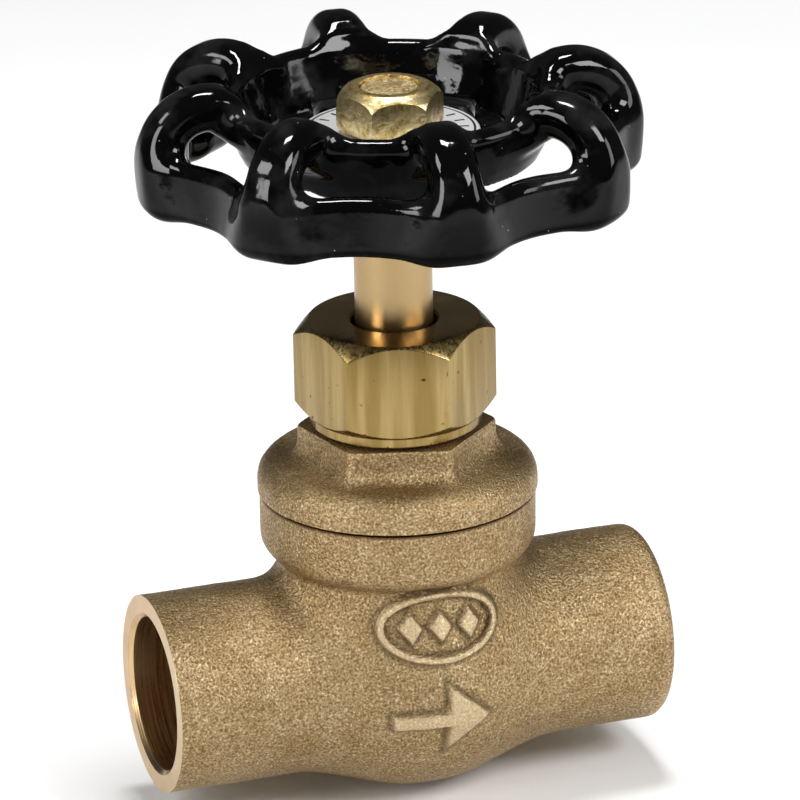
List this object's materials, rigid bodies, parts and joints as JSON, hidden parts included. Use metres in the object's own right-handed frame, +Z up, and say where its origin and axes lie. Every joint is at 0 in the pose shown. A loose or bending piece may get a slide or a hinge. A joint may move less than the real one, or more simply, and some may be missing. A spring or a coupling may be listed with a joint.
{
  "type": "stop valve",
  "caption": "Small brass stop valve with solder sockets, a screwed bonnet, a hexagonal packing nut, a bare rising stem and a lobed black handwheel.",
  "frame": {"origin": "where the axis of the two pipe sockets meets the axis of the stem", "axes": "+X along the pipe from inlet to outlet, +Z up the stem towards the handwheel, -Y towards the side with the raised marks"},
  "size_m": [0.054, 0.0528, 0.0778],
  "materials": {
    "cast_brass": "sand-cast, sparkling matt",
    "turned_brass": "turned, satin",
    "drawn_brass": "drawn bar with fine lengthwise lines, chamfers turned",
    "black_enamel": "thick gloss black enamel",
    "yellow_zinc": "yellow-passivated zinc plate",
    "silver_plate": "satin, printed in black",
    "seat_rubber": "matt moulded rubber",
    "packing_cord": "graphite-impregnated braid",
    "gasket_fibre": "pressed red fibre"
  },
  "bodies": {
    "valve": {"body": "cast_brass", "bonnet": "cast_brass", "bonnet_gasket": "gasket_fibre", "packing_washer": "drawn_brass", "packing_ring_lower": "packing_cord", "packing_ring_middle": "packing_cord", "packing_ring_upper": "packing_cord", "packing_gland": "turned_brass", "packing_nut": "drawn_brass"},
    "disc": {"disc_holder": "turned_brass", "seat_washer": "seat_rubber", "washer_screw": "turned_brass"},
    "spindle": {"stem": "turned_brass", "handwheel": "black_enamel", "identification_plate": "silver_plate", "handwheel_nut": "yellow_zinc"}
  },
  "joints": [
    {"name": "disc_lift", "type": "slide", "parent": "valve", "child": "disc", "axis": [0, 0, 1], "range_m": [-0.00635, 0]},
    {"name": "handwheel_turn", "type": "hinge", "parent": "disc", "child": "spindle", "pos_m": [0, 0, 0.0624], "axis": [0, 0, 1], "range_deg": [-900, 0]}
  ],
  "couplings": [
    {"joint": "disc_lift", "follows": "handwheel_turn", "m_per_rad": 0.00040425}
  ]
}
